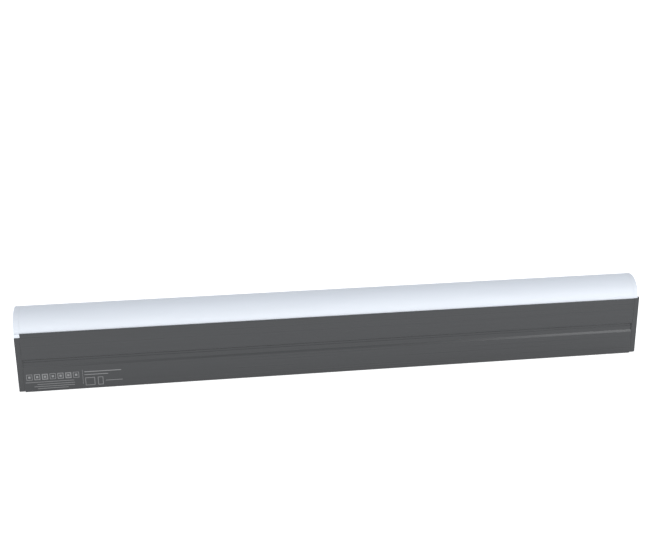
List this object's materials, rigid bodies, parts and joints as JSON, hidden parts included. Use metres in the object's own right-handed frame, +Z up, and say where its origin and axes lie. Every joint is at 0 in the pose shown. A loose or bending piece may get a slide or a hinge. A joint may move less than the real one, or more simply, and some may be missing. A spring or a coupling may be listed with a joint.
{
  "type": "led strip batten",
  "caption": "Straight LED lighting batten: dark extruded aluminium housing with a long groove in each side, half-round opal diffuser along the top, and end plates with power and data sockets.",
  "frame": {"origin": "middle of the base, on the surface it stands on", "axes": "+X along the batten towards the output end, +Z up through the diffuser, -Y out of the front face"},
  "size_m": [1, 0.068, 0.1283],
  "materials": {
    "anodised": "fine matt, dark grey anodised",
    "anodised_plate": "machined, dark grey anodised",
    "opal": "opal acrylic, satin",
    "opal_cap": "opal moulding, satin",
    "rubber": "matt",
    "steel": "zinc plated",
    "black_steel": "black oxide",
    "socket_black": "fine spark finish",
    "insert_blue": "moulded",
    "insert_grey": "moulded",
    "contacts": "plated",
    "latch": "satin",
    "board_white": "white solder mask",
    "board_green": "green solder mask",
    "emitter": "phosphor under silicone",
    "pad": "thermal pad",
    "reflector": "white",
    "tray": "zinc plated sheet",
    "parts_dark": "moulded",
    "button_red": "moulded",
    "clear": "clear acrylic",
    "cable_black": "matt sheath",
    "nylon": "natural nylon"
  },
  "bodies": {
    "batten": {"button_bezel": "socket_black", "button_switch": "parts_dark", "cable_clips": "nylon", "controller_board": "board_green", "controller_components": "parts_dark", "controller_screws": "steel", "controller_standoffs": "contacts", "data_cables": "cable_black", "data_in_contacts": "contacts", "data_in_insert": "insert_grey", "data_in_shell": "socket_black", "data_out_contacts": "contacts", "data_out_insert": "insert_grey", "data_out_shell": "socket_black", "diffuser": "opal", "diffuser_cap_left": "opal_cap", "diffuser_cap_right": "opal_cap", "diffuser_seals": "rubber", "electronics_tray": "tray", "end_gasket_left": "rubber", "end_gasket_right": "rubber", "end_plate_left": "anodised_plate", "end_plate_right": "anodised_plate", "end_plate_screws_left": "black_steel", "end_plate_screws_right": "black_steel", "housing": "anodised", "led_board_1": "board_white", "led_board_2": "board_white", "led_board_3": "board_white", "led_board_4": "board_white", "led_board_connectors": "nylon", "led_board_screws": "steel", "led_emitters": "emitter", "led_feed_cable": "cable_black", "mains_cables": "cable_black", "power_in_contacts": "contacts", "power_in_insert": "insert_blue", "power_in_shell": "socket_black", "power_out_contacts": "contacts", "power_out_insert": "insert_grey", "power_out_shell": "socket_black", "reflector_strips": "reflector", "safety_insert_left": "steel", "safety_insert_right": "steel", "socket_screws": "black_steel", "status_lamp": "parts_dark", "status_light_pipe": "clear", "supply_board": "board_green", "supply_case": "tray", "supply_components": "parts_dark", "supply_cover": "tray", "thermal_pad": "pad", "tray_screws": "steel", "vent_plug": "socket_black"},
    "slide_nut_left": {"slide_nut_left": "steel"},
    "slide_nut_right": {"slide_nut_right": "steel"},
    "data_in_latch": {"data_in_latch": "latch"},
    "data_out_latch": {"data_out_latch": "latch"},
    "power_out_latch": {"power_out_latch": "latch"},
    "test_button": {"test_button": "button_red"}
  },
  "joints": [
    {"name": "slide_nut_left_travel", "type": "slide", "parent": "batten", "child": "slide_nut_left", "axis": [1, 0, 0], "range_m": [-0.228, 0.236]},
    {"name": "slide_nut_right_travel", "type": "slide", "parent": "batten", "child": "slide_nut_right", "axis": [1, 0, 0], "range_m": [-0.236, 0.228]},
    {"name": "data_in_press", "type": "hinge", "parent": "batten", "child": "data_in_latch", "pos_m": [-0.4945, 0, 0.07285], "axis": [0, 1, 0], "range_deg": [-7, 0], "stiffness_Nm_per_rad": 0.02},
    {"name": "data_out_press", "type": "hinge", "parent": "batten", "child": "data_out_latch", "pos_m": [0.4945, 0, 0.07285], "axis": [0, -1, 0], "range_deg": [-7, 0], "stiffness_Nm_per_rad": 0.02},
    {"name": "power_out_press", "type": "hinge", "parent": "batten", "child": "power_out_latch", "pos_m": [0.4945, 0, 0.03705], "axis": [0, -1, 0], "range_deg": [-7, 0], "stiffness_Nm_per_rad": 0.02},
    {"name": "test_button_press", "type": "slide", "parent": "batten", "child": "test_button", "axis": [1, 0, 0], "range_m": [0, 0.001], "stiffness_N_per_m": 1200}
  ]
}
